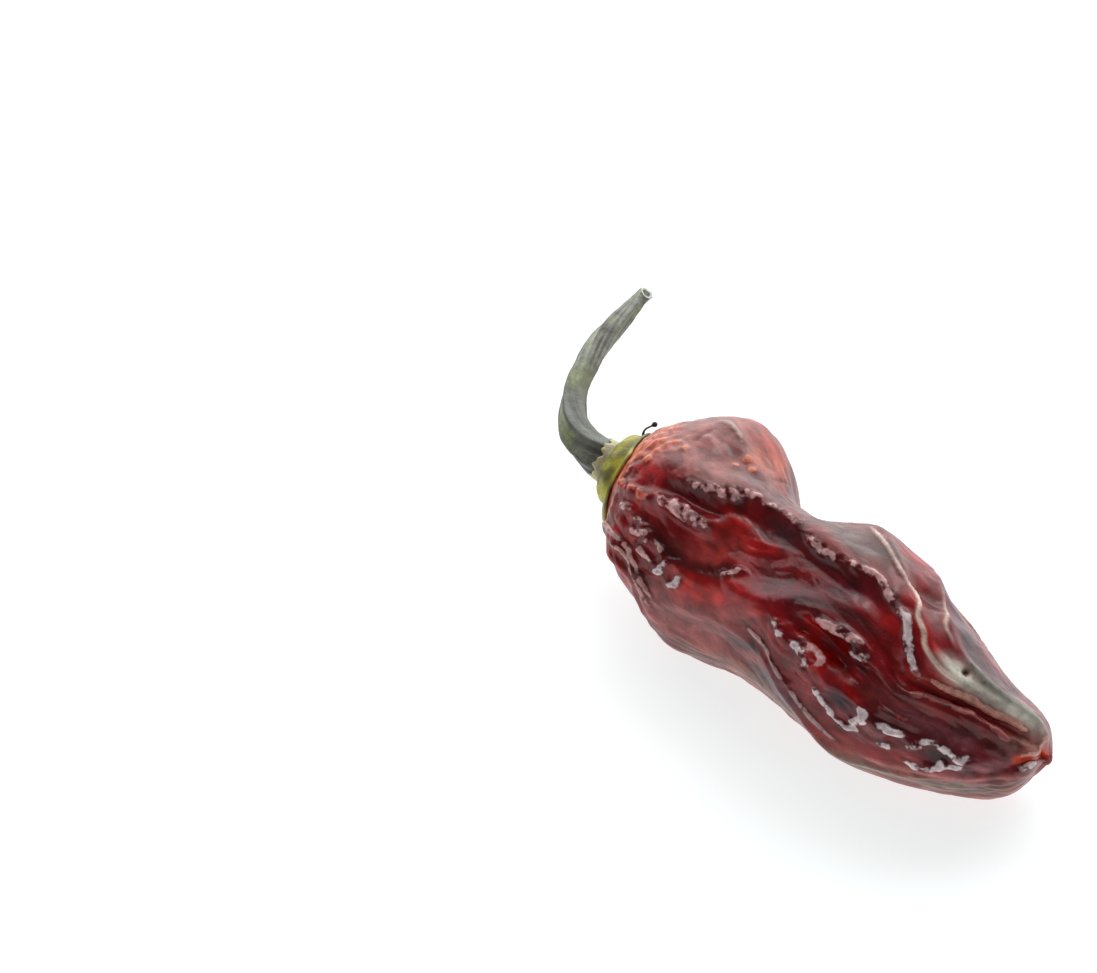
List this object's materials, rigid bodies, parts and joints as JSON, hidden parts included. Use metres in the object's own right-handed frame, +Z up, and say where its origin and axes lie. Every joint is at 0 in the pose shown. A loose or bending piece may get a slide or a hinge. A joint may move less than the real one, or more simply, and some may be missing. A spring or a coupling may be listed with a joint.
{
  "type": "superhot chili pepper",
  "caption": "Wrinkled superhot chili pod lying on its side, with a waist, sharp ridges and furrows, a two-lipped tip, a green toothed calyx and an arched ribbed stem with a cut end",
  "frame": {"origin": "middle of the bottom of the box round the whole pepper, on the surface it lies on", "axes": "+X from the stem end towards the tip, +Z up, -Y towards the side the picture shows"},
  "size_m": [0.0877, 0.0417, 0.0256],
  "materials": {
    "pod_skin": "glossy dark red skin, wrinkled",
    "calyx_green": "yellow-green, ribbed, satin",
    "stem_bark": "grey-green with dark ribs, matte"
  },
  "bodies": {
    "root": {"pod": "pod_skin", "calyx": "calyx_green", "stem": "stem_bark"}
  },
  "joints": []
}
